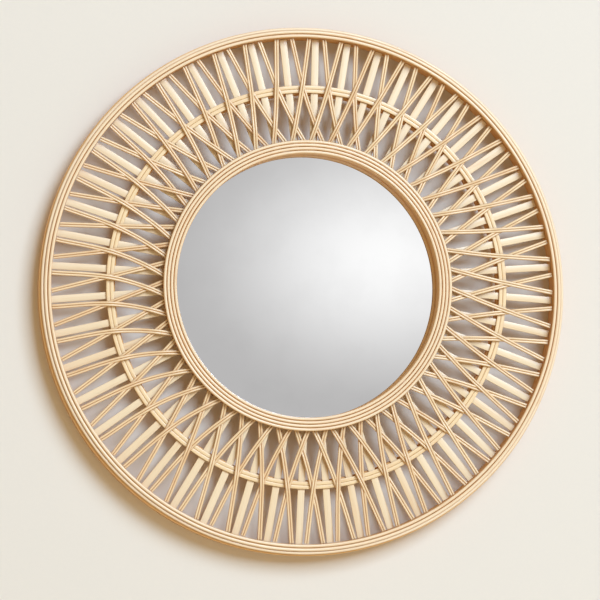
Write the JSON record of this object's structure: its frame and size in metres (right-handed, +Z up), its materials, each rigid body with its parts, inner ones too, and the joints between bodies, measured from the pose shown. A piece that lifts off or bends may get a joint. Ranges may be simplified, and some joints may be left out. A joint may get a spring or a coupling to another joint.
{
  "type": "round wall mirror with woven cane frame",
  "caption": "Round mirror glass in a wide open frame of cane: ringed strands at the rim and opening, flat radial slats and crossed pairs of thin rods between them.",
  "frame": {"origin": "on the wall plane at the rim's centre, on the flat back of the backing board", "axes": "+Z up, mirror faces -Y, +Y into the wall along the mirror's normal, +X to the viewer's right"},
  "size_m": [0.613, 0.0327, 0.613],
  "materials": {
    "cane_strand": "peeled cane, satin",
    "cane_hoop": "bent cane hoop, satin",
    "cane_slat": "split cane, fine lengthwise grain",
    "cane_rod": "thin round cane, satin",
    "silvered_glass": "flat silvered glass",
    "backing_board": "plain fibreboard, matt"
  },
  "bodies": {
    "root": {"rim_hoop": "cane_hoop", "rim_strand_outer": "cane_strand", "rim_strand_middle": "cane_strand", "rim_strand_inner": "cane_strand", "rim_back_hoop": "cane_hoop", "ring_strand_1": "cane_strand", "ring_strand_2": "cane_strand", "ring_strand_3": "cane_strand", "ring_strand_4": "cane_strand", "ring_hoop": "cane_hoop", "ring_back_hoop": "cane_hoop", "middle_strand_outer": "cane_strand", "middle_strand_inner": "cane_strand", "slats_right": "cane_slat", "slats_top": "cane_slat", "slats_left": "cane_slat", "slats_bottom": "cane_slat", "crossing_rods": "cane_rod", "mirror_glass": "silvered_glass", "backing_board": "backing_board"}
  },
  "joints": []
}
